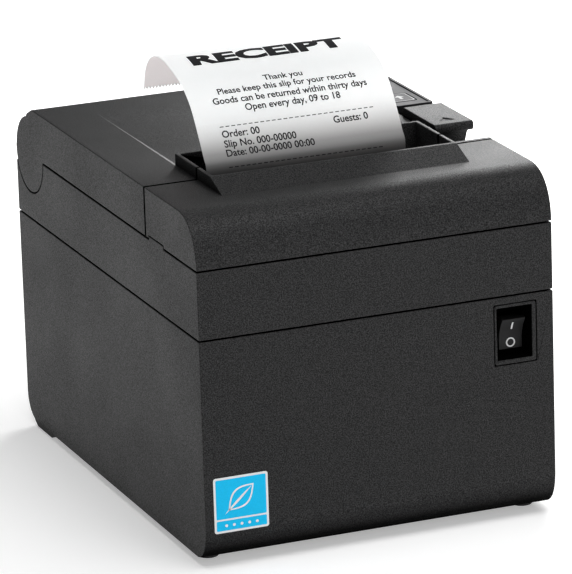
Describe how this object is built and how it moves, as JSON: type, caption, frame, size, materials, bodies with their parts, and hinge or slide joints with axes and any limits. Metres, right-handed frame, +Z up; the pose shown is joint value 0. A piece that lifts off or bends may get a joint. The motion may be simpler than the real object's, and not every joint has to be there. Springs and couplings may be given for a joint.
{
  "type": "receipt printer",
  "caption": "Desktop thermal receipt printer with a hinged roll cover, open lever, feed button, rocker power switch, printing and cutting mechanism, and a printed receipt curling out.",
  "frame": {"origin": "on the surface that it stands on, under the middle of the casing", "axes": "+Z up, -Y is the front with the power switch, +X is the right-hand side seen from the front"},
  "size_m": [0.14, 0.1958, 0.1692],
  "materials": {
    "casing": "fine spark-textured charcoal moulding",
    "foot_rubber": "matt black",
    "steel": "zinc-plated sheet",
    "label": "cyan printed sticker with a white border and a plain leaf",
    "inner_plastic": "black moulding",
    "paper": "smooth thermal paper",
    "core_card": "wound card tube",
    "gear_plastic": "acetal",
    "platen_rubber": "ground rubber",
    "head_ceramic": "glazed ceramic",
    "aluminium": "extruded",
    "black_plastic": "black moulding",
    "blade_steel": "ground steel",
    "panel": "grey film with white outlines",
    "light_lens": "tinted lens",
    "circuit_board": "green solder mask"
  },
  "bodies": {
    "printer": {"base_housing": "casing", "middle_housing": "casing", "front_cover": "casing", "console_housing": "casing", "foot_front_left": "foot_rubber", "foot_front_right": "foot_rubber", "foot_rear_left": "foot_rubber", "foot_rear_right": "foot_rubber", "case_screw_1": "steel", "case_screw_2": "steel", "case_screw_3": "steel", "case_screw_4": "steel", "hinge_pin_left": "steel", "hinge_pin_right": "steel", "mechanism_chassis": "steel", "stepper_motor": "steel", "idler_pin": "steel", "head_spring_left": "steel", "head_spring_right": "steel", "latch_stud": "steel", "cutter_motor": "steel", "interface_plate": "steel", "front_label": "label", "paper_bucket": "inner_plastic", "cutter_frame": "inner_plastic", "switch_frame": "casing", "paper_web": "paper", "print_head": "head_ceramic", "head_heatsink": "aluminium", "paper_sensor": "black_plastic", "cover_switch": "black_plastic", "near_end_sensor": "black_plastic", "dc_inlet": "black_plastic", "drawer_socket": "black_plastic", "usb_socket": "steel", "lan_socket": "steel", "control_panel": "panel", "power_light": "light_lens", "error_light": "light_lens", "paper_light": "light_lens", "main_board": "circuit_board"},
    "roll_cover": {"roll_cover": "casing", "receipt": "paper", "fixed_blade": "blade_steel", "platen_bearing_left": "inner_plastic", "platen_bearing_right": "inner_plastic"},
    "platen": {"platen_roller": "platen_rubber", "platen_shaft": "steel", "platen_gear": "gear_plastic"},
    "idler_gear": {"idler_gear": "gear_plastic"},
    "motor_pinion": {"motor_pinion": "gear_plastic"},
    "cutter_blade": {"moving_blade": "blade_steel"},
    "cutter_gear": {"cutter_gear": "gear_plastic"},
    "paper_roll": {"paper_roll": "paper", "roll_core": "core_card"},
    "open_lever": {"open_lever": "casing", "lever_pin": "steel"},
    "latch_hook": {"latch_hook": "steel"},
    "feed_button": {"feed_button": "panel"},
    "power_rocker": {"power_rocker": "black_plastic"}
  },
  "joints": [
    {"name": "roll_cover_hinge", "type": "hinge", "parent": "printer", "child": "roll_cover", "pos_m": [0, 0.0822, 0.1142], "axis": [-1, 0, 0], "range_deg": [0, 95]},
    {"name": "platen_spin", "type": "hinge", "parent": "roll_cover", "child": "platen", "pos_m": [0, -0.0418, 0.108], "axis": [1, 0, 0], "continuous": true},
    {"name": "idler_spin", "type": "hinge", "parent": "printer", "child": "idler_gear", "pos_m": [0.043, -0.04505, 0.08908], "axis": [1, 0, 0], "continuous": true},
    {"name": "pinion_spin", "type": "hinge", "parent": "printer", "child": "motor_pinion", "pos_m": [0.043, -0.05802, 0.08115], "axis": [1, 0, 0], "continuous": true},
    {"name": "paper_roll_spin", "type": "hinge", "parent": "printer", "child": "paper_roll", "pos_m": [-0.00685, 0.038, 0.0598], "axis": [1, 0, 0], "continuous": true},
    {"name": "cutter_slide", "type": "slide", "parent": "printer", "child": "cutter_blade", "axis": [0, 1, 0], "range_m": [0, 0.0055]},
    {"name": "cutter_gear_spin", "type": "hinge", "parent": "printer", "child": "cutter_gear", "pos_m": [0.0412, -0.069, 0.1208], "axis": [0, 0, 1], "range_deg": [-70, 0]},
    {"name": "open_lever_hinge", "type": "hinge", "parent": "printer", "child": "open_lever", "pos_m": [0.062, 0, 0.1286], "axis": [-1, 0, 0], "range_deg": [0, 25], "stiffness_Nm_per_rad": 0.02, "springref_deg": -17.19},
    {"name": "latch_release", "type": "hinge", "parent": "printer", "child": "latch_hook", "pos_m": [0.0472, -0.03, 0.092], "axis": [-1, 0, 0], "range_deg": [0, 13]},
    {"name": "feed_button_press", "type": "slide", "parent": "printer", "child": "feed_button", "axis": [0, 0, -1], "range_m": [0, 0.0008], "stiffness_N_per_m": 300, "springref_m": -0.0006},
    {"name": "power_rocker_tilt", "type": "hinge", "parent": "printer", "child": "power_rocker", "pos_m": [0.0556, -0.087, 0.071], "axis": [-1, 0, 0], "range_deg": [0, 18]}
  ],
  "couplings": [
    {"joint": "idler_spin", "follows": "platen_spin", "ratio": -0.84615},
    {"joint": "pinion_spin", "follows": "platen_spin", "ratio": 1.8333},
    {"joint": "cutter_gear_spin", "follows": "cutter_slide", "rad_per_m": -208.33},
    {"joint": "latch_release", "follows": "open_lever_hinge", "ratio": 0.5}
  ]
}
